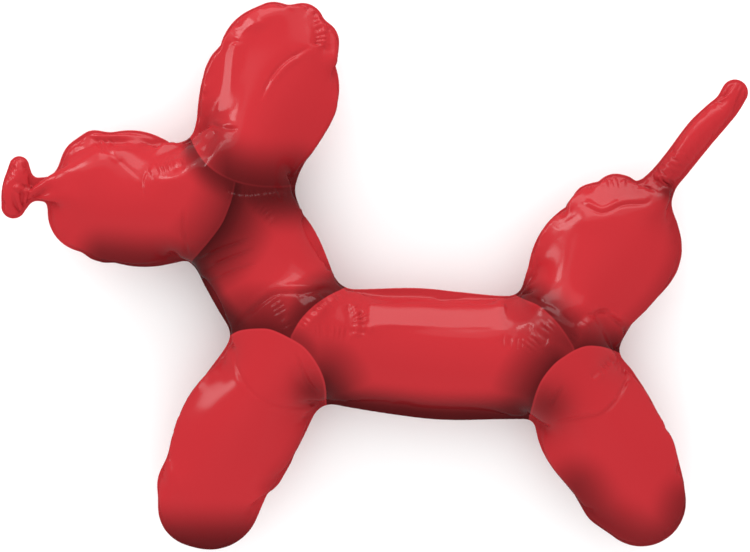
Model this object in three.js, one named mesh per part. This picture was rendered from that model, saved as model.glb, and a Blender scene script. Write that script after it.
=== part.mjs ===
// Foil dog balloon, lying on its side: one sealed envelope of two foil sheets welded along a narrow rim.
// Millimetres. X runs from the nose to the tail, Y from the feet to the ear, Z up from the surface it lies on.
import * as THREE from "three";

// ---- driving dimensions -------------------------------------------------------------------------
const RIM_WIDTH = 4; // welded rim outside the gas space
const RIM_HALF = 0.4; // half of the rim's thickness
const FULLNESS = 1.0; // 1 gives a long straight tube a round section
const FLAT_DEPTH = 3; // how far the shallowest resting bulge is pressed flat
const GRID = 4; // step of the inflation grid
const CHORD = 0.55; // how far a facet's edge may cut inside the true outline
const LONGEST = 22; // longest facet edge along an outline
const DEPTHS = [2.4, 7, 12]; // contour lines of the bulge near the weld, inward from it
const SMALLEST = 150; // contour loops with less area than this are left out
const CELL = 20; // side of the square cells that cover the rest, a multiple of GRID
const CLEAR = 5; // least distance between the last contour line and the cells
const SPREAD = 8; // samples between two stations of a limb

// Each limb is a chain of stations [x, y, half width] along its middle. blend is the fillet where it meets the others.
const LIMBS = {
  body: { blend: 0, stations: [[-102, -88.5, 77], [-37, -101.5, 82], [52.5, -108, 90], [107.5, -113, 90], [175.5, -115.5, 86.5], [251, -114.5, 87]] },
  neck: { blend: 21, stations: [[-181.5, 135, 60.5], [-174, 92.5, 66], [-172.5, 47, 81.5], [-155, 13, 86], [-123, -52.5, 80]] },
  ear: { blend: 19, stations: [[-177, 177, 79.5], [-167.5, 202, 83], [-147.5, 256, 94.5], [-134, 266, 82.5], [-142, 302.5, 76]] },
  muzzle: { blend: 22, stations: [[-402, 87.5, 55.5], [-347, 109, 93], [-316.5, 94.5, 83], [-266.5, 103.5, 82], [-236.5, 98, 79.5]] },
  stem: { blend: 13, stations: [[-492, 119.5, 14], [-469, 120, 16.5], [-450, 120, 19], [-431, 118.5, 29.5]] },
  nose: { blend: 10, stations: [[-497.5, 152.5, 14], [-499, 120.5, 22.5], [-505.5, 96, 17]] },
  front_leg: { blend: 26, stations: [[-150.5, -153.5, 77.5], [-184, -209, 83], [-202.5, -236.5, 78.5], [-219, -277, 75], [-230.5, -313.5, 71]] },
  haunch: { blend: 17, stations: [[278, -52.5, 78.5], [296, -13.5, 84.5], [316, 17.5, 91.5], [353.5, 34, 75.5], [341.5, 46.5, 86.5]] },
  hind_leg: { blend: 16, stations: [[299.5, -177.5, 75.5], [311.5, -211.5, 84], [336.5, -249, 79], [353.5, -264.5, 71], [364, -301.5, 70]] },
  tail: { blend: 11, stations: [[378.5, 94, 34], [401.5, 129, 22], [424, 157, 21], [455.5, 197.5, 22], [478, 221.5, 20.5], [493.5, 237.5, 18.5], [504.5, 255.5, 18.5]] },
  ear_tip_1: { blend: 3, stations: [[-156.5, 335.5, 37], [-141, 344, 38.5]] },
  ear_tip_2: { blend: 10, stations: [[-105, 342, 24.5], [-101, 350.5, 30.5]] },
  ear_tip_3: { blend: 7, stations: [[-75.5, 316.5, 25.5], [-81.5, 326, 32]] },
  ear_front: { blend: 1, stations: [[-204, 278, 35], [-202, 289, 32]] },
  muzzle_top: { blend: 15, stations: [[-397.5, 153.5, 42], [-393.5, 180.5, 22]] },
  muzzle_low: { blend: 3, stations: [[-381.5, 52.5, 33.5], [-374.5, 51.5, 34.5]] },
  haunch_top_1: { blend: 9, stations: [[303.5, 101.5, 26], [308.5, 102, 26.5]] },
  haunch_top_2: { blend: 3, stations: [[338, 110.5, 31.5], [344, 111, 29.5]] },
  leg_toe: { blend: 10, stations: [[-267, -292, 36.5], [-268.5, -321.5, 27]] },
  leg_sole: { blend: 3, stations: [[-248.5, -325.5, 54.5], [-216, -319, 47]] },
  hind_toe: { blend: 2, stations: [[368, -311, 59], [373.5, -317.5, 62.5]] },
  hind_heel: { blend: 3, stations: [[338.5, -306.5, 51.5], [310.5, -283.5, 38.5]] },
  leg_back: { blend: 3, stations: [[-169.5, -264.5, 45], [-156.5, -244.5, 43.5]] },
  muzzle_front: { blend: 5, stations: [[-414.5, 100.5, 33.5], [-412.5, 105, 42]] },
};

// ---- outline ------------------------------------------------------------------------------------
// The signed distance to the outline: each limb is the sweep of a disc along a spline through its stations.
function spline(a, b, c, d, t) {
  return a.map((_, i) => 0.5 * (2 * b[i] + (c[i] - a[i]) * t + (2 * a[i] - 5 * b[i] + 4 * c[i] - d[i]) * t * t + (3 * b[i] - a[i] - 3 * c[i] + d[i]) * t ** 3));
}
function sweep(st) {
  const beyond = (p, q) => p.map((v, i) => 2 * v - q[i]);
  const s = [beyond(st[0], st[1]), ...st, beyond(st.at(-1), st.at(-2))];
  const discs = [];
  for (let i = 1; i + 2 < s.length; i++)
    for (let k = 0; k < SPREAD; k++)
      discs.push(st.length === 2 ? st[0].map((v, j) => v + ((st[1][j] - v) * k) / SPREAD) : spline(s[i - 1], s[i], s[i + 1], s[i + 2], k / SPREAD));
  discs.push(st.at(-1));
  return discs;
}
const swept = Object.values(LIMBS).map((l) => ({ blend: l.blend, discs: sweep(l.stations) }));
function outside(x, y) {
  let d = Infinity;
  for (const { blend, discs } of swept) {
    let a = Infinity;
    for (const [cx, cy, r] of discs) a = Math.min(a, Math.hypot(x - cx, y - cy) - r);
    const h = blend && d < Infinity ? Math.max(blend - Math.abs(a - d), 0) / blend : 0;
    d = Math.min(a, d) - (h * h * blend) / 4;
  }
  return d;
}

// ---- grid over the silhouette ---------------------------------------------------------------------
const all = swept.flatMap((s) => s.discs);
const X0 = Math.min(...all.map((c) => c[0] - c[2])) - 4 * GRID;
const Y0 = Math.min(...all.map((c) => c[1] - c[2])) - 4 * GRID;
const NX = Math.ceil((Math.max(...all.map((c) => c[0] + c[2])) + 4 * GRID - X0) / GRID);
const NY = Math.ceil((Math.max(...all.map((c) => c[1] + c[2])) + 4 * GRID - Y0) / GRID);
const field = new Float64Array(NX * NY);
for (let j = 0; j < NY; j++) for (let i = 0; i < NX; i++) field[j * NX + i] = outside(X0 + i * GRID, Y0 + j * GRID);

// ---- inflation ------------------------------------------------------------------------------------
// h squared solves Poisson's equation inside the weld, which gives a long tube a circular section and an even bulge elsewhere.
const s = field.map((d) => -d - RIM_WIDTH); // distance inward from the weld
const psi = new Float64Array(NX * NY);
const inside = [];
for (let j = 1; j < NY - 1; j++)
  for (let i = 1; i < NX - 1; i++) {
    const k = j * NX + i;
    if (s[k] <= 0) continue;
    const arm = [1, -1, NX, -NX].map((n) => (s[k + n] > 0 ? 1 : Math.max(s[k] / (s[k] - s[k + n]), 0.05)));
    inside.push([k, arm]);
  }
for (let pass = 0; pass < 900; pass++) {
  let worst = 0;
  for (const [k, [e, w, n, so]] of inside) {
    const ax = 2 / (e + w), ay = 2 / (n + so);
    const pe = e === 1 ? psi[k + 1] : 0, pw = w === 1 ? psi[k - 1] : 0;
    const pn = n === 1 ? psi[k + NX] : 0, ps = so === 1 ? psi[k - NX] : 0;
    const next = (ax * (pe / e + pw / w) + ay * (pn / n + ps / so) + 2 * GRID * GRID) / (ax * (1 / e + 1 / w) + ay * (1 / n + 1 / so));
    const step = 1.9 * (next - psi[k]);
    psi[k] += step;
    worst = Math.max(worst, Math.abs(step));
  }
  if (worst < 1e-3) break;
}
const SOFT = 10; // psi over this bounded depth stays smooth right up to the weld
const bounded = (d) => SOFT * (1 - Math.exp(-Math.max(d, 1e-6) / SOFT));
const ratio = new Float64Array(NX * NY);
for (const [k] of inside) if (s[k] > 0.35 * GRID) ratio[k] = psi[k] / bounded(s[k]);
for (let pass = 0; pass < 4; pass++) {
  const next = ratio.slice();
  for (let k = NX + 1; k < NX * NY - NX - 1; k++) {
    if (ratio[k]) continue;
    const near = [1, -1, NX, -NX, NX + 1, NX - 1, 1 - NX, -NX - 1].map((n) => ratio[k + n]).filter(Boolean);
    if (near.length) next[k] = near.reduce((p, q) => p + q) / near.length;
  }
  ratio.set(next);
}
function bulge(x, y, d) {
  const u = (x - X0) / GRID, v = (y - Y0) / GRID, i = Math.floor(u), j = Math.floor(v), k = j * NX + i;
  const q = (ratio[k] * (1 - u + i) + ratio[k + 1] * (u - i)) * (1 - v + j) + (ratio[k + NX] * (1 - u + i) + ratio[k + NX + 1] * (u - i)) * (v - j);
  return FULLNESS * Math.sqrt(Math.max(q * bounded(d), 0));
}

// ---- contour lines --------------------------------------------------------------------------------
const area = (l) => l.reduce((t, [x, y], i) => t + x * l[(i + 1) % l.length][1] - y * l[(i + 1) % l.length][0], 0) / 2;
function loopsAt(level) {
  // marching squares on the grid, then each point slid onto the exact level
  const key = (a, b) => (a < b ? a * 4 + (b - a === 1 ? 0 : 1) : b * 4 + (a - b === 1 ? 0 : 1));
  const next = new Map(), at = new Map();
  const cross = (a, b) => {
    const id = key(a, b);
    if (!at.has(id)) {
      const t = (level - field[a]) / (field[b] - field[a]);
      at.set(id, [X0 + ((a % NX) * (1 - t) + (b % NX) * t) * GRID, Y0 + (Math.floor(a / NX) * (1 - t) + Math.floor(b / NX) * t) * GRID]);
    }
    return id;
  };
  for (let j = 0; j < NY - 1; j++)
    for (let i = 0; i < NX - 1; i++) {
      const c = [j * NX + i, j * NX + i + 1, (j + 1) * NX + i + 1, (j + 1) * NX + i];
      const on = c.map((k) => field[k] < level);
      const starts = [], ends = [];
      for (let e = 0; e < 4; e++) {
        const f = (e + 1) % 4;
        if (on[e] && !on[f]) starts.push(cross(c[e], c[f])); // leaves the inside, walking round the cell
        if (!on[e] && on[f]) ends.push(cross(c[e], c[f]));
      }
      starts.forEach((p, n) => next.set(p, ends[starts.length === 2 ? (on[0] ? n : 1 - n) : n]));
    }
  const loops = [], seen = new Set();
  for (const start of next.keys()) {
    if (seen.has(start)) continue;
    const loop = [];
    for (let p = start; !seen.has(p); p = next.get(p)) {
      seen.add(p);
      loop.push(at.get(p));
    }
    loops.push(loop);
  }
  return loops.map((loop) => loop.map(([x, y]) => {
    for (let n = 0; n < 4; n++) {
      const e = 0.05, d = outside(x, y) - level;
      const gx = (outside(x + e, y) - outside(x - e, y)) / (2 * e), gy = (outside(x, y + e) - outside(x, y - e)) / (2 * e);
      const g = Math.max(gx * gx + gy * gy, 0.3);
      x -= (0.8 * d * gx) / g;
      y -= (0.8 * d * gy) / g;
    }
    return [x, y];
  })).filter((l) => Math.abs(area(l)) > SMALLEST);
}
function thin(loop) {
  // keeps the points that the shape needs: no chord cuts off more than CHORD or is longer than LONGEST
  const kept = [];
  const gap = (p, a, b) => {
    const dx = b[0] - a[0], dy = b[1] - a[1], l = Math.hypot(dx, dy) || 1;
    return Math.abs((p[0] - a[0]) * dy - (p[1] - a[1]) * dx) / l;
  };
  const split = (i, j) => {
    let worst = 0, at = -1;
    for (let k = i + 1; k < j; k++) {
      const g = gap(loop[k], loop[i], loop[j]);
      if (g > worst) [worst, at] = [g, k];
    }
    const long = Math.hypot(loop[j][0] - loop[i][0], loop[j][1] - loop[i][1]) > LONGEST;
    if (j - i > 1 && (worst > CHORD || long)) {
      const k = worst > CHORD ? at : (i + j) >> 1;
      split(i, k);
      split(k, j);
    } else kept.push(loop[i]);
  };
  loop.push(loop[0]);
  const quarter = Math.floor((loop.length - 1) / 4);
  for (let q = 0; q < 4; q++) split(q * quarter, q === 3 ? loop.length - 1 : (q + 1) * quarter);
  return kept;
}
const turned = (l, sign) => (area(l) * sign > 0 ? l : l.slice().reverse());
const rings = [0, -RIM_WIDTH, ...DEPTHS.map((d) => -RIM_WIDTH - d)].map((level) => loopsAt(level).map((l) => turned(thin(l), 1)));

// ---- square cells over the broad middle ---------------------------------------------------------------
const STEP = CELL / GRID, CX = Math.floor((NX - 1) / STEP), CY = Math.floor((NY - 1) / STEP);
const deep = (i, j) => field[j * STEP * NX + i * STEP] < -(RIM_WIDTH + DEPTHS.at(-1) + CLEAR);
const cell = new Uint8Array(CX * CY);
for (let j = 0; j < CY; j++) for (let i = 0; i < CX; i++) cell[j * CX + i] = deep(i, j) && deep(i + 1, j) && deep(i, j + 1) && deep(i + 1, j + 1) ? 1 : 0;
for (let j = 1; j < CY; j++) // no two cells that meet at one corner only
  for (let i = 1; i < CX; i++) {
    const k = j * CX + i, [a, b, c, d] = [cell[k], cell[k - 1], cell[k - CX], cell[k - CX - 1]];
    if (a && d && !b && !c) cell[k] = 0;
    if (b && c && !a && !d) cell[k - 1] = 0;
  }
const corner = (i, j) => [X0 + i * CELL, Y0 + j * CELL];
function cellLoops() {
  const next = new Map(), has = (i, j) => i >= 0 && j >= 0 && i < CX && j < CY && cell[j * CX + i];
  for (let j = 0; j < CY; j++)
    for (let i = 0; i < CX; i++) {
      if (!has(i, j)) continue;
      if (!has(i, j - 1)) next.set([i, j].join(), [i + 1, j]);
      if (!has(i + 1, j)) next.set([i + 1, j].join(), [i + 1, j + 1]);
      if (!has(i, j + 1)) next.set([i + 1, j + 1].join(), [i, j + 1]);
      if (!has(i - 1, j)) next.set([i, j + 1].join(), [i, j]);
    }
  const loops = [];
  while (next.size) {
    const loop = [];
    for (let p = [...next.keys()][0]; next.has(p); ) {
      const to = next.get(p);
      next.delete(p);
      loop.push(corner(...to));
      p = to.join();
    }
    loops.push(loop);
  }
  return loops;
}
const levels = [...rings, cellLoops()];

// ---- envelope ---------------------------------------------------------------------------------------
const points = [], index = new Map();
function vertex(p, n) {
  const id = p[0].toFixed(4) + "," + p[1].toFixed(4);
  if (!index.has(id)) {
    index.set(id, points.length);
    points.push([p[0], p[1], n < 2 ? 0 : bulge(p[0], p[1], -outside(p[0], p[1]) - RIM_WIDTH)]);
  }
  return index.get(id);
}
const within = ([x, y], loop) => {
  let c = false;
  for (let i = 0, j = loop.length - 1; i < loop.length; j = i++)
    if (loop[i][1] > y !== loop[j][1] > y && x < ((loop[j][0] - loop[i][0]) * (y - loop[i][1])) / (loop[j][1] - loop[i][1]) + loop[i][0]) c = !c;
  return c;
};
const faces = [], rim = new Set();
const twice = (a, b, c) => (points[b][0] - points[a][0]) * (points[c][1] - points[a][1]) - (points[b][1] - points[a][1]) * (points[c][0] - points[a][0]);
rings.forEach((loops, n) => {
  for (const loop of loops) {
    const holes = levels.slice(n + 1).find((l) => l.length && l.some((h) => within(h[0], loop))) || [];
    const flat = [loop, ...(levels.indexOf(holes) === n + 1 ? holes : []).filter((h) => within(h[0], loop)).map((h) => turned(h, -1))];
    const ids = flat.flatMap((l, m) => l.map((p) => vertex(p, m ? n + 1 : n)));
    const [outer, ...inner] = flat.map((l) => l.map((p) => new THREE.Vector2(...p)));
    for (const t of THREE.ShapeUtils.triangulateShape(outer, inner)) {
      const [a, b, c] = t.map((i) => ids[i]);
      faces.push(twice(a, b, c) > 0 ? [a, b, c] : [a, c, b]);
    }
    if (n < 2) loop.forEach((p, i) => rim.add([ids[i], ids[(i + 1) % loop.length]].sort((a, b) => a - b).join()));
  }
});
for (let j = 0; j < CY; j++)
  for (let i = 0; i < CX; i++)
    if (cell[j * CX + i]) {
      const [a, b, c, d] = [[i, j], [i + 1, j], [i + 1, j + 1], [i, j + 1]].map((q) => vertex(corner(...q), 9));
      faces.push([a, b, c], [a, c, d]);
    }
// Edges are turned until every triangle is as even as it can be. The rim's own edges stay.
const wing = new Map();
const edge = (a, b) => (a < b ? a + "," + b : b + "," + a);
const enter = (f) => [0, 1, 2].forEach((i) => {
  const k = edge(faces[f][i], faces[f][(i + 1) % 3]);
  wing.set(k, [...(wing.get(k) || []).filter((g) => g !== f), f]);
});
const leave = (f) => [0, 1, 2].forEach((i) => {
  const k = edge(faces[f][i], faces[f][(i + 1) % 3]);
  wing.set(k, wing.get(k).filter((g) => g !== f));
});
faces.forEach((_, f) => enter(f));
const angle = (p, a, b) => Math.atan2(Math.abs(twice(p, a, b)), (points[a][0] - points[p][0]) * (points[b][0] - points[p][0]) + (points[a][1] - points[p][1]) * (points[b][1] - points[p][1]));
for (let pass = 0, turns = 1; pass < 40 && turns; pass++) {
  turns = 0;
  for (const k of [...wing.keys()]) {
    const pair = wing.get(k);
    if (pair.length !== 2 || rim.has(k)) continue;
    const [a, b] = k.split(",").map(Number);
    const [f, g] = pair, c = faces[f].find((v) => v !== a && v !== b), d = faces[g].find((v) => v !== a && v !== b);
    if (angle(c, a, b) + angle(d, a, b) <= Math.PI + 1e-6 || wing.get(edge(c, d))?.length) continue;
    if (twice(c, d, a) * twice(c, d, b) > -1e-6) continue;
    leave(f);
    leave(g);
    faces[f] = twice(a, c, d) > 0 ? [a, c, d] : [a, d, c];
    faces[g] = twice(b, c, d) > 0 ? [b, c, d] : [b, d, c];
    enter(f);
    enter(g);
    turns++;
  }
}
// The balloon rests on the three places where limbs meet, so each is pressed flat on the surface below it.
const peak = ([x, y]) => {
  let best = 0;
  for (const [px, py, h] of points) if (Math.hypot(px - x, py - y) < 70) best = Math.max(best, h);
  return best;
};
const RESTS = [[-205, 105], [-115, -85], [245, -110]];
const LIE = Math.min(...RESTS.map(peak)) - FLAT_DEPTH;

const N = points.length;
const position = [];
for (const [x, y, h] of points) position.push(x, y, LIE + RIM_HALF + h);
for (const [x, y, h] of points) position.push(x, y, LIE - Math.min(h + RIM_HALF, LIE));
const order = [];
for (const [a, b, c] of faces) order.push(a, b, c, a + N, c + N, b + N);
for (const loop of rings[0])
  loop.forEach((p, i) => {
    const a = vertex(p, 0), b = vertex(loop[(i + 1) % loop.length], 0);
    order.push(a, a + N, b, b, a + N, b + N);
  });

const geometry = new THREE.BufferGeometry();
geometry.setAttribute("position", new THREE.Float32BufferAttribute(position, 3));
geometry.setIndex(order);
geometry.computeBoundingBox();
const middle = geometry.boundingBox.getCenter(new THREE.Vector3());
geometry.translate(-middle.x, -middle.y, 0);
geometry.computeVertexNormals();

const balloon = new THREE.Mesh(geometry, new THREE.MeshStandardMaterial({ color: 0xcc343d, roughness: 0.3, metalness: 0.1 }));
balloon.name = "foil_balloon";

const dog = new THREE.Group();
dog.add(balloon);
export default dog;
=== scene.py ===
import math
import time

import bpy
import numpy as np
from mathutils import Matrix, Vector
from mathutils import geometry as mg


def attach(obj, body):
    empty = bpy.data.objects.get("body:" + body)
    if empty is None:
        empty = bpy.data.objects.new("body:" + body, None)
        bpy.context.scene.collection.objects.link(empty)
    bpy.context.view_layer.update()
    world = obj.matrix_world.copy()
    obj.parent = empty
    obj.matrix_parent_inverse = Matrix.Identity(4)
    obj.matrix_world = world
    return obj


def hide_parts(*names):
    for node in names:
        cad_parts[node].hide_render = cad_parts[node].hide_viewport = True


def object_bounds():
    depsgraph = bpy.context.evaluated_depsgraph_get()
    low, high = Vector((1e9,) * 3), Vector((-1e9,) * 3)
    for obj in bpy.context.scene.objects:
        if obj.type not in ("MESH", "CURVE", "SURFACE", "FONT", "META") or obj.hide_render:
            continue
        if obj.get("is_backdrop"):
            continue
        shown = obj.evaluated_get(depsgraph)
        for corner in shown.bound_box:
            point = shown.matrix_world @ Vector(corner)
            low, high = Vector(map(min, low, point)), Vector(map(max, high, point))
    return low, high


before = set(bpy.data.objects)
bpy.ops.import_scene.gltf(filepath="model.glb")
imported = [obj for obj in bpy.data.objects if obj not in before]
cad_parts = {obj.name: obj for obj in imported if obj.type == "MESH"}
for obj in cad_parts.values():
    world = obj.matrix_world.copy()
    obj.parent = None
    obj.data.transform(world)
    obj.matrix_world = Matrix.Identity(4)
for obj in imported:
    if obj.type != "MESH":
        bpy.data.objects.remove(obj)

CAD_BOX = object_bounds()
START = time.time()

# ---- sizes, millimetres, as in the CAD part --------------------------------------------------------
RIM_WIDTH = 4.0
WELD_Z = 89.6  # height of the weld above the surface that the balloon lies on
GRID = 4.0
FILM = 0.25  # half thickness of the rim, two films and the weld
SPREAD = 8

LIMBS = {
    "body": (0, [(-102, -88.5, 77), (-37, -101.5, 82), (52.5, -108, 90), (107.5, -113, 90), (175.5, -115.5, 86.5), (251, -114.5, 87)]),
    "neck": (21, [(-181.5, 135, 60.5), (-174, 92.5, 66), (-172.5, 47, 81.5), (-155, 13, 86), (-123, -52.5, 80)]),
    "ear": (19, [(-177, 177, 79.5), (-167.5, 202, 83), (-147.5, 256, 94.5), (-134, 266, 82.5), (-142, 302.5, 76)]),
    "muzzle": (22, [(-402, 87.5, 55.5), (-347, 109, 93), (-316.5, 94.5, 83), (-266.5, 103.5, 82), (-236.5, 98, 79.5)]),
    "stem": (13, [(-492, 119.5, 14), (-469, 120, 16.5), (-450, 120, 19), (-431, 118.5, 29.5)]),
    "nose": (10, [(-497.5, 152.5, 14), (-499, 120.5, 22.5), (-505.5, 96, 17)]),
    "front_leg": (26, [(-150.5, -153.5, 77.5), (-184, -209, 83), (-202.5, -236.5, 78.5), (-219, -277, 75), (-230.5, -313.5, 71)]),
    "haunch": (17, [(278, -52.5, 78.5), (296, -13.5, 84.5), (316, 17.5, 91.5), (353.5, 34, 75.5), (341.5, 46.5, 86.5)]),
    "hind_leg": (16, [(299.5, -177.5, 75.5), (311.5, -211.5, 84), (336.5, -249, 79), (353.5, -264.5, 71), (364, -301.5, 70)]),
    "tail": (11, [(378.5, 94, 34), (401.5, 129, 22), (424, 157, 21), (455.5, 197.5, 22), (478, 221.5, 20.5), (493.5, 237.5, 18.5), (504.5, 255.5, 18.5)]),
    "ear_tip_1": (3, [(-156.5, 335.5, 37), (-141, 344, 38.5)]),
    "ear_tip_2": (10, [(-105, 342, 24.5), (-101, 350.5, 30.5)]),
    "ear_tip_3": (7, [(-75.5, 316.5, 25.5), (-81.5, 326, 32)]),
    "ear_front": (1, [(-204, 278, 35), (-202, 289, 32)]),
    "muzzle_top": (15, [(-397.5, 153.5, 42), (-393.5, 180.5, 22)]),
    "muzzle_low": (3, [(-381.5, 52.5, 33.5), (-374.5, 51.5, 34.5)]),
    "haunch_top_1": (9, [(303.5, 101.5, 26), (308.5, 102, 26.5)]),
    "haunch_top_2": (3, [(338, 110.5, 31.5), (344, 111, 29.5)]),
    "leg_toe": (10, [(-267, -292, 36.5), (-268.5, -321.5, 27)]),
    "leg_sole": (3, [(-248.5, -325.5, 54.5), (-216, -319, 47)]),
    "hind_toe": (2, [(368, -311, 59), (373.5, -317.5, 62.5)]),
    "hind_heel": (3, [(338.5, -306.5, 51.5), (310.5, -283.5, 38.5)]),
    "leg_back": (3, [(-169.5, -264.5, 45), (-156.5, -244.5, 43.5)]),
    "muzzle_front": (5, [(-414.5, 100.5, 33.5), (-412.5, 105, 42)]),
}


# ---- outline, as in the CAD part ---------------------------------------------------------------------
def sweep(stations):
    st = np.array(stations, float)
    if len(st) == 2:
        t = np.linspace(0, 1, SPREAD + 1)[:, None]
        return st[0] * (1 - t) + st[1] * t
    q = np.vstack([2 * st[0] - st[1], st, 2 * st[-1] - st[-2]])
    t = np.arange(SPREAD)[:, None] / SPREAD
    runs = []
    for i in range(len(st) - 1):
        a, b, c, d = q[i : i + 4]
        runs.append(0.5 * (2 * b + (c - a) * t + (2 * a - 5 * b + 4 * c - d) * t**2 + (3 * b - a - 3 * c + d) * t**3))
    return np.vstack(runs + [st[-1:]])


SWEPT = [(float(blend), sweep(st)) for blend, st in LIMBS.values()]


def outside(P):
    """Signed distance to the outline, positive outside. P is n by 2."""
    P = np.asarray(P, float)
    out = np.empty(len(P))
    for lo in range(0, len(P), 20000):
        Q = P[lo : lo + 20000]
        d = None
        for blend, c in SWEPT:
            a = (np.hypot(Q[:, 0, None] - c[:, 0], Q[:, 1, None] - c[:, 1]) - c[:, 2]).min(1)
            if d is None:
                d = a
            else:
                h = np.maximum(blend - np.abs(a - d), 0) / blend
                d = np.minimum(a, d) - h * h * blend / 4
        out[lo : lo + 20000] = d
    return out


def gradient(P, e=0.05):
    dx, dy = np.array([e, 0]), np.array([0, e])
    return np.stack([outside(P + dx) - outside(P - dx), outside(P + dy) - outside(P - dy)], 1) / (2 * e)


def onto(P, level):
    """Slides points onto the line where the signed distance is level."""
    P = P.copy()
    for _ in range(5):
        g = gradient(P)
        P -= 0.85 * ((outside(P) - level) / np.maximum((g * g).sum(1), 0.3))[:, None] * g
    return P


ALL = np.vstack([c for _, c in SWEPT])
X0, Y0 = (ALL[:, 0] - ALL[:, 2]).min() - 16, (ALL[:, 1] - ALL[:, 2]).min() - 16
NX = int(math.ceil(((ALL[:, 0] + ALL[:, 2]).max() + 16 - X0) / GRID))
NY = int(math.ceil(((ALL[:, 1] + ALL[:, 2]).max() + 16 - Y0) / GRID))
gx, gy = np.meshgrid(X0 + GRID * np.arange(NX), Y0 + GRID * np.arange(NY))
FIELD = outside(np.c_[gx.ravel(), gy.ravel()]).reshape(NY, NX)


def trace(level):
    """The longest loop where FIELD crosses level, anticlockwise, slid onto the exact line."""
    inside = FIELD < level
    nxt, at = {}, {}

    def cross(a, b):
        key = (a, b) if a < b else (b, a)
        if key not in at:
            (j0, i0), (j1, i1) = key
            t = (level - FIELD[j0, i0]) / (FIELD[j1, i1] - FIELD[j0, i0])
            at[key] = (X0 + GRID * (i0 + t * (i1 - i0)), Y0 + GRID * (j0 + t * (j1 - j0)))
        return key

    mixed = inside[:-1, :-1].astype(int) + inside[1:, :-1] + inside[:-1, 1:] + inside[1:, 1:]
    for j, i in zip(*np.nonzero((mixed > 0) & (mixed < 4))):
        c = [(j, i), (j, i + 1), (j + 1, i + 1), (j + 1, i)]
        on = [inside[k] for k in c]
        starts, ends = [], []
        for e in range(4):
            f = (e + 1) % 4
            if on[e] and not on[f]:
                starts.append(cross(c[e], c[f]))
            if not on[e] and on[f]:
                ends.append(cross(c[e], c[f]))
        if len(starts) == 2 and not on[0]:
            ends.reverse()
        for p, q in zip(starts, ends):
            nxt[p] = q
    best, seen = [], set()
    for start in nxt:
        loop, p = [], start
        while p not in seen:
            seen.add(p)
            loop.append(at[p])
            p = nxt[p]
        if len(loop) > len(best):
            best = loop
    best = onto(np.array(best), level)
    x, y = best.T
    if (x * np.roll(y, -1) - y * np.roll(x, -1)).sum() < 0:
        best = best[::-1].copy()
    return best


def arc(loop):
    step = np.hypot(*(np.roll(loop, -1, 0) - loop).T)
    return np.concatenate([[0], np.cumsum(step)])


def around(v, n):
    """Gaussian mean of a closed list, n samples wide."""
    k = np.arange(-int(3 * n) - 1, int(3 * n) + 2)
    g = np.exp(-0.5 * (k / n) ** 2)
    g /= g.sum()
    return sum(w * np.roll(v, -s, axis=0) for s, w in zip(k, g))


EDGE = trace(0.0)
MIDDLE = (EDGE.max(0) + EDGE.min(0)) / 2


def halfwidth(P, N):
    """How far the middle of the limb is from each point of the outline, along the inward normal."""
    t = np.arange(4, 152, 4.0)
    deep = -np.stack([outside(P - N * s) for s in t], 1)
    good = np.cumprod(deep > 0.9 * t - 1.5, axis=1).astype(bool)
    return np.maximum((deep * good).max(1), 6.0)


# ---- flat sheet ----------------------------------------------------------------------------------------
def coarse_mesh():
    weld = trace(-RIM_WIDTH)
    s = arc(weld)
    N = gradient(weld)
    N /= np.hypot(*N.T)[:, None]
    want = np.clip(0.55 * around(halfwidth(weld, N), 2), 5.5, COARSE)
    count = np.concatenate([[0], np.cumsum(np.diff(s) / want)])
    n = int(round(count[-1]))
    at = np.interp(np.arange(n) * count[-1] / n, count, s)
    closed = np.vstack([weld, weld[:1]])
    B = onto(np.c_[np.interp(at, s, closed[:, 0]), np.interp(at, s, closed[:, 1])], -RIM_WIDTH)
    inner = []
    for pitch, zone in ((COARSE, 0), (6.5, 1)):
        xs = np.arange(X0, X0 + NX * GRID, pitch)
        ys = np.arange(Y0, Y0 + NY * GRID, pitch * math.sqrt(3) / 2)
        gx, gy = np.meshgrid(xs, ys)
        gx = gx + np.where(np.arange(len(ys))[:, None] % 2, pitch / 2, 0)
        P = np.c_[gx.ravel(), gy.ravel()]
        thin = (P[:, 0] < -436) | ((P[:, 0] > 392) & (P[:, 1] > 112))
        d = -outside(P) - RIM_WIDTH
        inner.append(P[(d > 0.62 * pitch) & (thin if zone else ~thin)])
    I = np.vstack(inner)
    verts = [Vector(p) for p in np.vstack([B, I])]
    V, E, F, *_ = mg.delaunay_2d_cdt(verts, [], [list(range(n))], 1, 1e-6)
    V = np.array([tuple(v) for v in V])
    F = np.array([f for f in F if len(f) == 3])
    a, b, c = V[F].transpose(1, 0, 2)
    turn = (b[:, 0] - a[:, 0]) * (c[:, 1] - a[:, 1]) - (b[:, 1] - a[:, 1]) * (c[:, 0] - a[:, 0])
    F[turn < 0] = F[turn < 0][:, [0, 2, 1]]
    return V, F, list(range(n))


def edges_of(F):
    e = np.sort(np.vstack([F[:, [0, 1]], F[:, [1, 2]], F[:, [2, 0]]]), 1)
    u, inv = np.unique(e, axis=0, return_inverse=True)
    return u, inv.reshape(3, -1).T


def finer(V, F, loop):
    """Each triangle cut in four. New points on the weld slide onto it."""
    E, FE = edges_of(F)
    mid = (V[E[:, 0]] + V[E[:, 1]]) / 2
    n = len(V)
    index = {tuple(e): n + i for i, e in enumerate(E.tolist())}
    loop2 = []
    for a, b in zip(loop, loop[1:] + loop[:1]):
        loop2 += [a, index[(min(a, b), max(a, b))]]
    V2 = np.vstack([V, mid])
    new = np.array(loop2[1::2])
    V2[new] = onto(V2[new], -RIM_WIDTH)
    ab, bc, ca = (n + FE).T
    a, b, c = F.T
    F2 = np.vstack([np.c_[a, ab, ca], np.c_[ab, b, bc], np.c_[ca, bc, c], np.c_[ab, bc, ca]])
    return V2, F2, loop2, E


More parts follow.
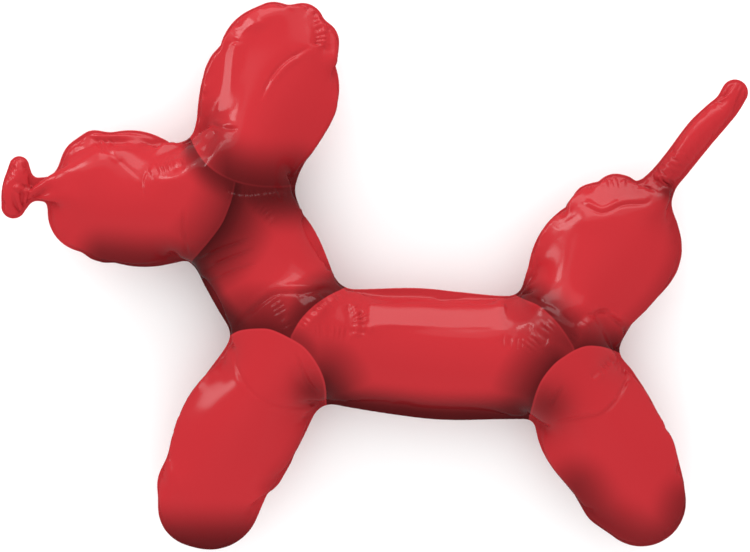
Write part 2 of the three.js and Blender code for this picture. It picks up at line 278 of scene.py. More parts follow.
def relax(V, F, fixed, passes):
    E, _ = edges_of(F)
    n = len(V)
    deg = np.bincount(E.ravel(), minlength=n)
    for _ in range(passes):
        S = np.stack([np.bincount(E[:, 0], V[E[:, 1], k], n) + np.bincount(E[:, 1], V[E[:, 0], k], n) for k in (0, 1)], 1)
        V = np.where(fixed[:, None], V, 0.5 * V + 0.5 * S / deg[:, None])
    return V


def harmonic(E, n, fixed, value, start):
    """Laplace's equation on the mesh: value where fixed, smooth elsewhere. Conjugate gradients."""
    free = ~fixed

    def lap(x):
        d = x[E[:, 0]] - x[E[:, 1]]
        r = np.stack([np.bincount(E[:, 0], d[:, k], n) - np.bincount(E[:, 1], d[:, k], n) for k in range(x.shape[1])], 1)
        r[fixed] = 0
        return r

    x = start.copy()
    x[fixed] = value[fixed]
    r = -lap(x)
    p = r.copy()
    rr = (r * r).sum()
    for _ in range(500):
        if rr < 1e-4 * free.sum():
            break
        Ap = lap(p)
        al = rr / (p * Ap).sum()
        x += al * p
        r -= al * Ap
        new = (r * r).sum()
        p = r + (new / rr) * p
        rr = new
    return x


# ---- inflation of the film -----------------------------------------------------------------------------
def colours(pairs, n):
    """Splits pairs into groups in which no point occurs twice."""
    used = [0] * n
    group = np.empty(len(pairs), int)
    for k, (a, b) in enumerate(pairs.tolist()):
        busy = used[a] | used[b]
        bit = ~busy & (busy + 1)
        used[a] |= bit
        used[b] |= bit
        group[k] = bit.bit_length() - 1
    return [np.nonzero(group == g)[0] for g in range(group.max() + 1)]


class Film:
    def __init__(self, F, flat, held):
        self.F, self.n = F, len(flat)
        E, FE = edges_of(F)
        self.free = ~held
        w = self.free.astype(np.float32)
        order = np.random.default_rng(7).permutation(len(E))
        E = E[order]
        E = E[(w[E[:, 0]] + w[E[:, 1]]) > 0]
        self.links = self.pack(E, flat, w)
        # bending: the far corners of the two triangles at each edge
        E0, FE = edges_of(F)
        sides = np.full((len(E0), 2), -1)
        fill = np.zeros(len(E0), int)
        far = np.stack([F[:, 2], F[:, 0], F[:, 1]], 1)
        for k in range(3):
            for parity in (0, 1):
                e, v = FE[:, k], far[:, k]
                todo = sides[e, parity] < 0
                first = np.unique(e[todo], return_index=True)
                rows = np.nonzero(todo)[0][first[1]]
                taken = (sides[e[rows], 0] == v[rows])
                rows = rows[~taken]
                sides[e[rows], parity] = v[rows]
        B = sides[(sides >= 0).all(1)]
        B = B[(w[B[:, 0]] + w[B[:, 1]]) > 0]
        self.bends = self.pack(B, flat, w)
        a, b, c = flat[F].transpose(1, 0, 2)
        area = 0.5 * np.abs((b[:, 0] - a[:, 0]) * (c[:, 1] - a[:, 1]) - (b[:, 1] - a[:, 1]) * (c[:, 0] - a[:, 0]))
        self.mass = np.maximum(np.bincount(F.ravel(), np.repeat(area / 3, 3), self.n), 0.5).astype(np.float32)

    def pack(self, pairs, flat, w):
        out = []
        for g in colours(pairs, self.n):
            a, b = pairs[g].T
            rest = np.hypot(*(flat[a] - flat[b]).T).astype(np.float32)
            wa, wb = w[a] / (w[a] + w[b]), w[b] / (w[a] + w[b])
            out.append((a, b, rest, wa, wb))
        return out

    def push(self, X):
        a, b, c = X[self.F].transpose(1, 0, 2)
        nrm = np.cross(b - a, c - a) / 6
        return np.stack([np.bincount(self.F.ravel(), np.repeat(nrm[:, k], 3), self.n) for k in range(3)], 1).astype(np.float32) / self.mass[:, None]

    def run(self, X, steps, lift, squeeze, bend, drag=0.02, floor=None, side=1.0):
        X = X.astype(np.float32)
        V = np.zeros_like(X)
        fixed = ~self.free
        for step in range(steps):
            if step % 4 == 0:
                P = self.push(X) * side
            V += lift * P
            V *= 1 - drag
            V[fixed] = 0
            Y = X + V
            for a, b, rest, wa, wb in self.links:
                pa, pb = Y[a], Y[b]
                d = pb - pa
                L = np.sqrt((d * d).sum(1)) + 1e-6
                s = (L - rest) / L
                s = np.where(s < 0, s * squeeze, s)
                Y[a] = pa + d * (s * wa)[:, None]
                Y[b] = pb - d * (s * wb)[:, None]
            if bend:
                for a, b, rest, wa, wb in self.bends:
                    pa, pb = Y[a], Y[b]
                    d = pb - pa
                    L = np.sqrt((d * d).sum(1)) + 1e-6
                    s = np.minimum(L - rest, 0) / L * bend
                    Y[a] = pa + d * (s * wa)[:, None]
                    Y[b] = pb - d * (s * wb)[:, None]
            z = Y[:, 2] * side
            z = np.where(fixed, z, np.maximum(z, 0.15))
            if floor is not None:
                z = np.minimum(z, floor)
            Y[:, 2] = z * side
            V = Y - X
            X = Y
        return X


COARSE = 14.0
FAT, FAT_END = 1.5, 1.34  # how much wider the flat sheet is cut than the full limb: along it, and at its free end
LONG = 1.02  # how much longer the sheet is cut than the full limb
MOVED = {"stem": (-20, 0), "nose": (-24, 0), "tail": (12, 16)}  # free ends that the filling draws in
TIPS = {"muzzle": (0,), "ear": (1,), "nose": (0, 1), "front_leg": (1,), "haunch": (1,), "hind_leg": (1,), "tail": (1,)}
NOTCHES = [(-258, 186), (-115, 117), (-45, -20), (203, -29), (338, -109), (223, -201), (-72, -178), (-197, -83), (-261, 24), (-480, 134), (-480, 106), (379, 132), (418, 122)]


def even(loop, n):
    s = arc(loop)
    closed = np.vstack([loop, loop[:1]])
    u = np.arange(n) * s[-1] / n
    return np.c_[np.interp(u, s, closed[:, 0]), np.interp(u, s, closed[:, 1])], s[-1] / n


def turning(loop, step, width):
    q = around(loop, width / step)
    t = np.roll(q, -1, 0) - np.roll(q, 1, 0)
    a = np.arctan2(t[:, 1], t[:, 0])
    return np.angle(np.exp(1j * (np.roll(a, -1) - np.roll(a, 1)))) / (2 * step)


def cut_sheet():
    """The sheet before it is filled: the same limbs, fatter. Returns its outline and each disc chain."""
    global SWEPT, FIELD, X0, Y0, NX, NY
    fat = {}
    for name in ("body", "neck", "ear", "muzzle", "stem", "nose", "front_leg", "haunch", "hind_leg", "tail"):
        c = sweep(LIMBS[name][1])
        t = np.linspace(0, 1, len(c))
        u = np.zeros(len(c))
        for end in TIPS.get(name, ()):
            u = np.maximum(u, np.clip(((t if end else 1 - t) - 0.45) / 0.55, 0, 1))
        u = u * u * (3 - 2 * u)
        c[:, 2] = (c[:, 2] - RIM_WIDTH) * (FAT - (FAT - FAT_END) * u)
        c[:, :2] = c[:, :2] * LONG + MOVED.get(name, (0, 0))
        fat[name] = c
    kept = SWEPT, FIELD, X0, Y0, NX, NY
    SWEPT = [(0.8 * LIMBS[name][0], c) for name, c in fat.items()]
    X0, Y0, NX, NY = X0 - 100, Y0 - 100, NX + 50, NY + 50
    gx, gy = np.meshgrid(X0 + GRID * np.arange(NX), Y0 + GRID * np.arange(NY))
    FIELD = outside(np.c_[gx.ravel(), gy.ravel()]).reshape(NY, NX)
    loop = trace(0.0)
    SWEPT, FIELD, X0, Y0, NX, NY = kept
    return loop, fat


def pattern(V, F, loop):
    """Where each point of the mesh lies on the sheet before it is filled."""
    n = 2400
    weld, dw = even(trace(-RIM_WIDTH), n)
    cut, fat = cut_sheet()
    sheet, ds = even(cut, n)
    bend_w, bend_s = turning(weld, dw, 5), turning(sheet, ds, 5)
    pins = []
    for q in NOTCHES:
        q = np.array(q, float)
        go = next((np.array(m, float) for k, m in MOVED.items() if (k == "tail" and q[0] > 370) or (k == "nose" and q[0] < -470)), np.zeros(2))
        near = np.hypot(*(weld - q).T)
        i = np.argmin(np.where(near < 12, bend_w, 9))
        d = np.hypot(*(sheet - weld[i] * LONG - 0.6 * go).T)
        j = np.argmin(np.where(d < (90 if abs(q[0]) < 370 else 48), bend_s + 0.0008 * d, 9))
        pins.append((i, j))
    for name, ends in TIPS.items():
        if name in ("muzzle", "haunch", "ear"):
            continue
        for end in ends:
            for which, c, line in ((0, sweep(LIMBS[name][1]), weld), (1, fat[name], sheet)):
                tip, back = (c[-1], c[-5]) if end else (c[0], c[4])
                d = (tip - back)[:2]
                far = tip[:2] + d / np.hypot(*d) * (tip[2] - (RIM_WIDTH if which == 0 else 0))
                k = np.argmin(np.hypot(*(line - far).T))
                if which == 0:
                    i = k
            pins.append((i, k))
    pins.sort()
    pi = np.array([p[0] for p in pins])
    pj = np.array([p[1] for p in pins])
    ci, cj = pi - pi[0], (pj - pj[0]) % n
    keep = np.concatenate([[True], np.diff(cj) > 0])
    ci, cj = ci[keep], cj[keep]
    print("pins", len(ci), "stretch", (np.diff(np.append(cj, n)) * ds / (np.diff(np.append(ci, n)) * dw)).round(2))
    to = np.interp(np.arange(n), np.append(ci, n), np.append(cj, n))
    B = V[loop]
    near = np.array([np.argmin((weld[:, 0] - x) ** 2 + (weld[:, 1] - y) ** 2) for x, y in B])
    t = weld[(near + 1) % n] - weld[(near - 1) % n]
    t /= np.hypot(*t.T)[:, None]
    at = near + ((B - weld[near]) * t).sum(1) / dw
    j = (np.interp((at - pi[0]) % n, np.arange(n), to) + pj[0]) % n
    closed = np.vstack([sheet, sheet[:1]])
    k = np.arange(n + 1)
    there = np.c_[np.interp(j, k, closed[:, 0]), np.interp(j, k, closed[:, 1])]
    D = np.zeros_like(V)
    D[loop] = there - B
    fixed = np.zeros(len(V), bool)
    fixed[loop] = True
    E, _ = edges_of(F)
    return V + harmonic(E, len(V), fixed, D, np.zeros_like(V))


def held(n, loop):
    h = np.zeros(n, bool)
    h[loop] = True
    return h


LEVELS = []
V, F, loop = coarse_mesh()
V = relax(V, F, held(len(V), loop), 6)
LEVELS.append((len(V), F, loop, None))
for _ in range(2):
    V, F, loop, E = finer(V, F, loop)
    LEVELS.append((len(V), F, loop, E))
V = relax(V, F, held(len(V), loop), 4)
FLAT = pattern(V, F, loop)
print("mesh", [l[0] for l in LEVELS], len(F), "after %.1f s" % (time.time() - START))
DEPTH = np.maximum(-outside(V) - RIM_WIDTH, 0)
DEPTH[loop] = 0
STEPS = ((500, 0.02, 0.0, 0.02), (300, 0.004, 0.05, 0.02), (260, 0.001, 0.4, 0.05))  # steps, push, squeeze, bend
FILMS = [Film(f, FLAT[:n], held(n, l)) for n, f, l, _ in LEVELS]


def inflate(seed, side, floor=None):
    n, _, l, _ = LEVELS[0]
    rise = np.sqrt(np.maximum(2 * 90 * DEPTH[:n] - DEPTH[:n] ** 2, 0)) * 0.98
    rise += np.where(held(n, l), 0, np.random.default_rng(seed).normal(0, 0.5, n))
    X = np.c_[V[:n], np.maximum(rise, 0) * side]
    X[l, 2] = 0
    for film, (n, f, l, E), (steps, push, squeeze, bend) in zip(FILMS, LEVELS, STEPS):
        if E is not None:
            X = np.vstack([X, (X[E[:, 0]] + X[E[:, 1]]) / 2])
            X[l, :2] = V[l]
            X[l, 2] = 0
        X = film.run(X, steps, push, squeeze, bend, floor=floor, side=side)
    return X.astype(float)


FILLED_FRONT = inflate(3, 1.0)
print("front", FILLED_FRONT[:, 2].max(), "after %.1f s" % (time.time() - START))
FILLED_BACK = inflate(11, -1.0, WELD_Z)
print("back", FILLED_BACK[:, 2].min(), "after %.1f s" % (time.time() - START))


# ---- calm skin between the creases ------------------------------------------------------------------------
def px(x, y):
    """A place given in steps of 1.4 mm from the left and from the top, in millimetres."""
    return ((x - 374.5) * 1.4, (275 - y) * 1.4)


# places where the wrinkles of the filling stay: x, y, radius
SPOTS = [
    (262, 12, 26), (328, 42, 26), (203, 150, 26), (76, 148, 36), (54, 205, 30), (110, 142, 22), (176, 160, 28), (200, 258, 24),
    (300, 304, 28), (308, 384, 30), (520, 304, 28), (552, 340, 28), (580, 326, 30), (612, 352, 26), (540, 404, 26),
    (592, 196, 34), (650, 188, 34), (272, 492, 28), (182, 545, 26), (163, 486, 22), (572, 492, 26), (614, 532, 26),
]


def spots(P, grow=1.0):
    """1 inside the places above, 0 away from them."""
    w = np.zeros(len(P))
    for x, y, r in SPOTS:
        d = np.hypot(*(P - px(x, y)).T) / (1.4 * r * grow)
        w = np.maximum(w, np.clip((1.25 - d) / 0.5, 0, 1))
    return w * w * (3 - 2 * w)


def calm(X, rounds, keep):
    E, _ = edges_of(F)
    n = len(X)
    deg = np.bincount(E.ravel(), minlength=n)
    thin = np.clip((38 - WIDE) / 14, 0, 1)
    soft = np.clip((DEPTH - 9) / 16, 0, 1) * (1 - keep) * (1 - thin)
    D = X - np.c_[V, np.zeros(n)]
    for _ in range(rounds):
        mean = np.stack([np.bincount(E[:, 0], D[E[:, 1], k], n) + np.bincount(E[:, 1], D[E[:, 0], k], n) for k in range(3)], 1) / deg[:, None]
        D += 0.6 * soft[:, None] * (mean - D)
    return D + np.c_[V, np.zeros(n)]


def widths():
    """How wide the limb is at each point: the greatest depth near it, spread outwards."""
    E, _ = edges_of(F)
    w = DEPTH.copy()
    for _ in range(14):
        m = w.copy()
        np.maximum.at(m, E[:, 0], w[E[:, 1]])
        np.maximum.at(m, E[:, 1], w[E[:, 0]])
        w = m
    return w


WIDE = widths()
FRONT = calm(FILLED_FRONT, 200, 0.93 * spots(FILLED_FRONT[:, :2]))
BACK = calm(FILLED_BACK, 140, 0.93 * spots(FILLED_BACK[:, :2]))


# ---- finer mesh at the creases of the front ------------------------------------------------------------
def normals(X, F):
    a, b, c = X[F].transpose(1, 0, 2)
    nrm = np.cross(b - a, c - a)
    N = np.stack([np.bincount(F.ravel(), np.repeat(nrm[:, k], 3), len(X)) for k in range(3)], 1)
    return N / np.maximum(np.sqrt((N * N).sum(1)), 1e-9)[:, None]


def denser(X, F, home, pick):
    """The picked triangles cut in four and their neighbours to match. New points follow the curve of the skin."""
    E, FE = edges_of(F)
    cut = np.zeros(len(E), bool)
    cut[FE[pick].ravel()] = True
    deep = np.maximum(-outside(home) - RIM_WIDTH, 0)
    cut[(deep[E] < 0.05).all(1)] = False
    N = normals(X, F)
    A, B = E[cut].T
    d = X[B] - X[A]
    wa, wb = (d * N[A]).sum(1), -(d * N[B]).sum(1)
    mid = (X[A] + X[B]) / 2 - (wa[:, None] * N[A] + wb[:, None] * N[B]) / 8
    index = np.full(len(E), -1)
    index[cut] = len(X) + np.arange(len(A))
    M = index[FE]
    n_cut = (M >= 0).sum(1)
    out = [F[n_cut == 0]]
    k = n_cut == 3
    (a, b, c), (ab, bc, ca) = F[k].T, M[k].T
    out += [np.c_[a, ab, ca], np.c_[ab, b, bc], np.c_[ca, bc, c], np.c_[ab, bc, ca]]
    for turn in range(3):
        G, H = np.roll(F, -turn, 1), np.roll(M, -turn, 1)
        k = (n_cut == 1) & (H[:, 0] >= 0)
        (a, b, c), ab = G[k].T, H[k, 0]
        out += [np.c_[a, ab, c], np.c_[ab, b, c]]
        k = (n_cut == 2) & (H[:, 2] < 0)
        (a, b, c), (ab, bc, _) = G[k].T, H[k].T
        out += [np.c_[ab, b, bc], np.c_[a, ab, bc], np.c_[a, bc, c]]
    return np.vstack([X, mid]), np.vstack(out), np.vstack([home, (home[A] + home[B]) / 2])


def line(points):
    """A smooth line through the points."""
    st = np.array([px(*p) for p in points], float)
    q = np.vstack([2 * st[0] - st[1], st, 2 * st[-1] - st[-2]])
    t = np.arange(8)[:, None] / 8
    runs = []
    for i in range(len(st) - 1):
        a, b, c, d = q[i : i + 4]
        runs.append(0.5 * (2 * b + (c - a) * t + (2 * a - 5 * b + 4 * c - d) * t**2 + (3 * b - a - 3 * c + d) * t**3))
    return np.vstack(runs + [st[-1:]])


def beside(P, pts, reach=45.0):
    """Distance from P to the line pts, positive on its left, and how far along it the nearest point is, 0 to 1. Points further away than reach get a large distance."""
    best = np.full(len(P), 1e9)
    sign = np.ones(len(P))
    far = np.zeros(len(P))
    s = np.concatenate([[0], np.cumsum(np.hypot(*np.diff(pts, axis=0).T))])
    rows = np.nonzero(((P > pts.min(0) - reach) & (P < pts.max(0) + reach)).all(1))[0]
    Q = P[rows]
    for i, (a, b) in enumerate(zip(pts[:-1], pts[1:])):
        d = b - a
        L = (d * d).sum()
        if L < 1e-9:
            continue
        near = ((Q > np.minimum(a, b) - reach) & (Q < np.maximum(a, b) + reach)).all(1)
        k, R = rows[near], Q[near]
        t = np.clip(((R - a) @ d) / L, 0, 1)
        dist = np.hypot(*(R - a - t[:, None] * d).T)
        side = d[0] * (R[:, 1] - a[1]) - d[1] * (R[:, 0] - a[0])
        close = dist < best[k] - 1e-9
        k = k[close]
        best[k] = dist[close]
        sign[k] = np.sign(side[close])
        far[k] = s[i] + t[close] * (s[i + 1] - s[i])
    return best * sign, far / s[-1], s[-1]


# creases of the filled film: how deep and how wide in mm, which side bulges (1 left, -1 right), and the line
FOLDS = [
    (3.0, 4.3, 1, [(236, 326), (251, 312), (276, 294), (302, 292), (343, 286)]),
    (0.9, 2.8, -1, [(235, 343), (237, 362), (245, 380), (259, 395), (280, 403), (308, 407), (325, 402)]),
    (2.0, 3.1, 1, [(297, 351), (303, 366), (309, 380), (319, 394)]),
    (3.3, 3.7, 1, [(587, 314), (601, 312), (609, 316), (624, 327)]),
    (2.2, 3.1, 1, [(546, 404), (553, 393), (561, 384)]),
    (1.9, 3.1, 1, [(550, 421), (578, 415), (599, 411), (616, 396), (627, 377)]),
    (2.0, 3.1, 1, [(187, 209), (186, 229), (190, 258)]),
    (1.9, 2.8, 1, [(199, 262), (224, 249), (252, 240)]),
    (1.7, 2.8, 1, [(204, 272), (228, 260), (256, 250)]),
    (1.3, 2.8, 1, [(210, 283), (234, 272), (258, 264)]),
    (1.7, 3.1, 1, [(310, 48), (285, 65), (270, 84), (262, 103)]),
    (1.7, 3.1, 1, [(578, 203), (600, 213), (622, 205), (645, 203), (652, 193)]),
    (2.0, 3.1, 1, [(572, 205), (566, 192), (572, 184)]),
    (1.7, 2.8, 1, [(652, 178), (660, 184), (668, 188)]),
    (1.3, 2.8, 1, [(717, 99), (727, 95)]),
    (1.3, 2.8, 1, [(13, 190), (24, 194), (35, 196)]),
    (0.9, 3.1, -1, [(96, 140), (118, 158), (146, 182)]),
    (1.1, 2.8, 1, [(148, 172), (145, 184), (147, 197)]),
    (1.7, 2.8, 1, [(212, 124), (224, 129), (240, 131)]),
]
# rows of small puckers across a line: height and reach in mm, spacing in mm, and the line
PUCKERS = [
    (1.3, 9, 8.5, [(314, 330), (334, 331), (354, 335)]),
    (1.3, 10, 9, [(275, 297), (281, 308), (286, 319), (291, 331)]),
    (1.1, 9, 9, [(343, 290), (325, 302), (311, 315), (298, 328)]),
    (1.2, 9, 8, [(499, 341), (510, 342), (522, 344)]),
    (1.2, 10, 9, [(522, 350), (536, 336), (552, 322)]),
    (1.1, 9, 8, [(355, 306), (361, 320), (357, 336)]),
    (1.0, 8, 8, [(318, 15), (322, 32), (320, 50)]),
    (1.1, 9, 8.5, [(150, 175), (168, 168), (188, 160)]),
    (1.2, 10, 9, [(566, 341), (574, 333), (584, 324)]),
    (1.0, 8, 8, [(596, 372), (604, 364), (614, 358)]),
    (1.0, 8, 8, [(227, 192), (243, 195), (262, 196), (287, 192)]),
    (1.0, 8, 8, [(257, 205), (266, 213), (275, 224)]),
    (1.0, 9, 9, [(98, 150), (106, 144), (114, 137)]),
    (1.0, 9, 9, [(585, 186), (602, 182), (622, 182)]),
]


# flat facets of the film between two creases, each turned to a lamp: width in mm and the middle line
FACETS = [
    (13, [(258, 16), (245, 26), (233, 38)]),
    (13, [(231, 42), (228, 78), (223, 114)]),
    (9, [(215, 130), (208, 142), (201, 154)]),
    (4, [(229, 139), (218, 154), (206, 171)]),
    (5, [(216, 127), (226, 130), (238, 131)]),
    (9, [(152, 176), (168, 170), (187, 163)]),
    (10, [(61, 161), (76, 149), (96, 140)]),
    (4, [(98, 141), (112, 154), (124, 164)]),
    (4, [(228, 193), (250, 197), (286, 192)]),
    (11, [(301, 303), (312, 298), (323, 293)]),
    (6, [(342, 293), (322, 306), (303, 327)]),
    (5, [(350, 303), (355, 320), (353, 336)]),
    (4, [(362, 309), (366, 334)]),
    (7, [(552, 229), (566, 216), (581, 206)]),
    (6, [(584, 199), (600, 206), (618, 200)]),
    (8, [(573, 327), (582, 320), (591, 315)]),
    (5, [(593, 312), (608, 312), (618, 318)]),
    (7, [(526, 297), (550, 311), (572, 326)]),
    (5, [(527, 322), (533, 336), (541, 350)]),
    (5, [(540, 322), (545, 335), (541, 347)]),
    (5, [(598, 370), (613, 360)]),
    (4, [(588, 378), (600, 370)]),
    (4, [(612, 398), (622, 388), (628, 378)]),
    (6, [(318, 14), (321, 30), (320, 48)]),
    (5, [(296, 56), (282, 68), (270, 84)]),
    (4, [(18, 167), (13, 181)]),
    (4, [(14, 186), (34, 189)]),
    (5, [(632, 186), (650, 184), (660, 192)]),
    (4, [(726, 92), (734, 84)]),
    (4, [(205, 60), (202, 100)]),
    (5, [(541, 236), (533, 258)]),
    (4, [(175, 470), (166, 496)]),
    (27, [(367, 315), (506, 317)]),
]
LAMPS = [(0.0, 2.4, 0.85, 1.0), (-1.7, 1.7, 0.75, 0.0), (-2.2, 1.05, 0.72, 0.0)]  # the low lamps: place and half width in metres
EYE = np.array([*px(375, 276), 4000.0])


def facing(here):
    """For each low lamp, the slope at which a place shows it to the eye."""
    out = []
    for x, y, z, half in LAMPS:
        at = np.array([np.clip(here[0], MIDDLE[0] + 1000 * (x - half), MIDDLE[0] + 1000 * (x + half)), MIDDLE[1] + 1000 * y, 1000 * z - WELD_Z])
        n = (at - here) / np.linalg.norm(at - here) + (EYE - here) / np.linalg.norm(EYE - here)
        out.append(-n[:2] / n[2])
    return out


def crease(X, F, P):
    N = normals(X, F)
    h = np.zeros(len(X))
    rng = np.random.default_rng(4)
    for depth, wide, side, points in FOLDS:
        d, t, _ = beside(P, line(points))
        d = d * side
        taper = np.clip(np.minimum(t, 1 - t) / 0.22, 0, 1) ** 0.7
        near = np.abs(d) < 5 * wide
        h += near * taper * depth * (-np.exp(-((d / wide) ** 2)) + 0.6 * np.exp(-(((d - 1.7 * wide) / (1.3 * wide)) ** 2)))
    for high, reach, pitch, points in PUCKERS:
        d, t, length = beside(P, line(points))
        s = t * length
        phase = s / pitch + 0.25 * np.sin(s / pitch * 1.7 + rng.uniform(0, 6)) + 0.12 * d / reach
        saw = np.abs((phase % 1) * 2 - 1)
        h += high * np.exp(-((d / reach) ** 2)) * (saw - 0.5) * 2 * (np.abs(d) < 4 * reach) * np.clip(np.minimum(t, 1 - t) / 0.08, 0.15, 1)
    flats = np.zeros(len(X))
    deep = -outside(P) - RIM_WIDTH
    for wide, points in FACETS:
        pts = line(points)
        d, t, length = beside(P, pts)
        run = pts[-1] - pts[0]
        run /= np.hypot(*run)
        across = np.array([-run[1], run[0]])  # to the left of the line
        near = np.abs(d) < 1.5 * wide + 10
        own = (np.abs(d) < 0.5 * wide + 5) & (deep > 2)
        if own.sum() < 40:
            continue
        u, q = 2 * t - 1, d / 10
        one = np.ones(len(d))
        Z = X[:, 2] + flats * N[:, 2]
        fit = np.linalg.lstsq(np.c_[one, u, u * u, u**3, q, q * u, q * u * u, q * q, q * q * u][own], Z[own], rcond=None)[0]
        mine = np.array([fit[4] / 10, 2 * fit[1] / length])  # slope across and along
        ways = [(g @ across, g @ run) for g in facing(np.array([*pts.mean(0), fit[0]]))]
        want = min(ways, key=lambda w: abs(w[1] - mine[1]) + 0.3 * abs(w[0] - mine[0]))
        flat = np.clip(d, -wide / 2, wide / 2)
        v = flat / 10
        lift = want[0] * flat - (v * (fit[4] + fit[5] * u + fit[6] * u * u) + v * v * (fit[7] + fit[8] * u))
        fall = np.clip(1 - (np.abs(d) - wide / 2) / (8 + min(wide, 12)), 0, 1)
        end = np.clip(np.minimum(t, 1 - t) * length / 5, 0, 1)
        v = d / 10  # the strip itself is ironed flat
        even = fit[0] + u * (fit[1] + u * (fit[2] + u * fit[3])) + v * (fit[4] + fit[5] * u + fit[6] * u * u) + v * v * (fit[7] + fit[8] * u)
        iron = np.clip((wide / 2 + 3 - np.abs(d)) / 3, 0, 1)
        lift = np.clip(lift, -5, 5) * fall * fall * (3 - 2 * fall) + np.clip(even - Z, -4, 4) * iron
        flats += np.where(near, lift * N[:, 2] * end, 0)
    h += flats
    shallow = np.clip(deep / 10, 0, 1)
    return X + N * (h * shallow)[:, None]


def marks(P, fine=False):
    """How near P is to a crease, a row of puckers or a facet, in mm."""
    best = np.full(len(P), 1e9)
    for wide, points in FACETS:
        best = np.minimum(best, np.abs(beside(P, line(points))[0]) - (0.5 * wide + (0 if fine else 6)))
    for _, wide, _, points in FOLDS:
        best = np.minimum(best, np.abs(beside(P, line(points))[0]) - (1.0 if fine else 2.8) * wide)
    if fine:
        return best
    for _, reach, _, points in PUCKERS:
        best = np.minimum(best, np.abs(beside(P, line(points))[0]) - 1.1 * reach)
    return best


BUDGET = 126000  # triangles of the front; the back and the rim have 71,000
FRONT_FACES, HOME_FRONT = F, V
for fine, upto in ((False, 92000), (True, BUDGET)):
    centre = FRONT[FRONT_FACES].mean(1)[:, :2]
    near = marks(centre, fine)
    near[-outside(HOME_FRONT[FRONT_FACES].mean(1)) < RIM_WIDTH + 3] = 1e9
    count = min(int((upto - len(FRONT_FACES)) / 3.7), int((near < (2 if fine else 1)).sum()))
    pick = np.zeros(len(near), bool)
    pick[np.argsort(near, kind="stable")[:count]] = True
    FRONT, FRONT_FACES, HOME_FRONT = denser(FRONT, FRONT_FACES, HOME_FRONT, pick)
    print("front", len(FRONT_FACES), "after %.1f s" % (time.time() - START))
FRONT = crease(FRONT, FRONT_FACES, FRONT[:, :2])
FRONT[loop, 2] = 0


# ---- one closed skin: front film, rim, back film -------------------------------------------------------
def ripple(P, seed):
    """Small puckers that run in from the weld, across the weld line."""
    rng = np.random.default_rng(seed)
    s = arc(trace(-RIM_WIDTH))
    weld = trace(-RIM_WIDTH)
    total = s[-1]
    wave = np.zeros(len(weld))
    for k in range(60):
        length = rng.uniform(14, 34)
        wave += rng.normal() * np.sin(2 * np.pi * round(total / length) * s[:-1] / total + rng.uniform(0, 6.28))
    wave /= wave.std()
    calm = around(np.abs(rng.normal(size=len(weld))), 25)
    wave *= np.clip(calm / calm.mean(), 0.4, 1.8)
    out = np.empty(len(P))
    for lo in range(0, len(P), 4000):
        Q = P[lo : lo + 4000]
        out[lo : lo + 4000] = wave[np.argmin((Q[:, 0, None] - weld[:, 0]) ** 2 + (Q[:, 1, None] - weld[:, 1]) ** 2, 1)]
    return out


def skin():
    """Vertices, faces and places in the outline of the whole balloon."""
    top, low = FRONT.copy(), BACK.copy()
    sides = []
    for P in (HOME_FRONT, V):
        deep = np.maximum(-outside(P) - RIM_WIDTH, 0)
        near = deep < 26
        wave = np.zeros(len(P))
        wave[near] = ripple(P[near], 5)
        sides.append(1.1 * wave * np.exp(-deep / 7) * np.clip(-outside(P) / 40, 0.25, 1))
    top[:, 2] += sides[0] + FILM
    low[:, 2] += sides[1] - FILM
    low[:, 2] = np.maximum(low[:, 2], -WELD_Z)
    W = np.array(loop)
    m, n, a = len(W), len(top), len(top) + len(low)
    rim = sides[1][W]
    top[W, 2], low[W, 2] = rim + FILM, rim - FILM
    mid = onto(V[W], -RIM_WIDTH / 2)
    out = onto(V[W], 0.0)
    rows = []
    for z in (FILM, -FILM):
        rows.append(np.c_[mid, 1.1 * rim + z])
        rows.append(np.c_[out, 1.25 * rim + z])
    faces = FRONT_FACES.tolist() + [[n + v for v in f[::-1]] for f in F.tolist()]
    tm, to, lm, lo = a, a + m, a + 2 * m, a + 3 * m
    for i in range(m):
        j = (i + 1) % m
        wi, wj = int(W[i]), int(W[j])
        faces.append((wj, wi, tm + i, tm + j))
        faces.append((tm + j, tm + i, to + i, to + j))
        faces.append((n + wi, n + wj, lm + j, lm + i))
        faces.append((lm + i, lm + j, lo + j, lo + i))
        faces.append((to + j, to + i, lo + i, lo + j))
    return np.vstack([top, low] + rows), faces


X, FACES = skin()
HOME = X[:, :2]
print("skin", len(X), len(FACES), "low", X[:, 2].min(), "after %.1f s" % (time.time() - START))


# ---- printed picture: each bubble of the twisted figure, with its shade ---------------------------------
def region(P, points):
    """Signed distance to a closed outline, positive inside."""
    pts = line(list(points) + [points[0]])
    best = np.full(len(P), 1e9)
    inside = np.zeros(len(P), bool)
    for a, b in zip(pts[:-1], pts[1:]):
        d = b - a
        L = (d * d).sum()
        if L < 1e-9:
            continue
        t = np.clip(((P - a) @ d) / L, 0, 1)
        best = np.minimum(best, np.hypot(*(P - a - t[:, None] * d).T))
        cut = (a[1] > P[:, 1]) != (b[1] > P[:, 1])
        with np.errstate(divide="ignore", invalid="ignore"):
            at = a[0] + (P[:, 1] - a[1]) * d[0] / d[1]
        inside ^= cut & (P[:, 0] < at)
    return np.where(inside, best, -best)


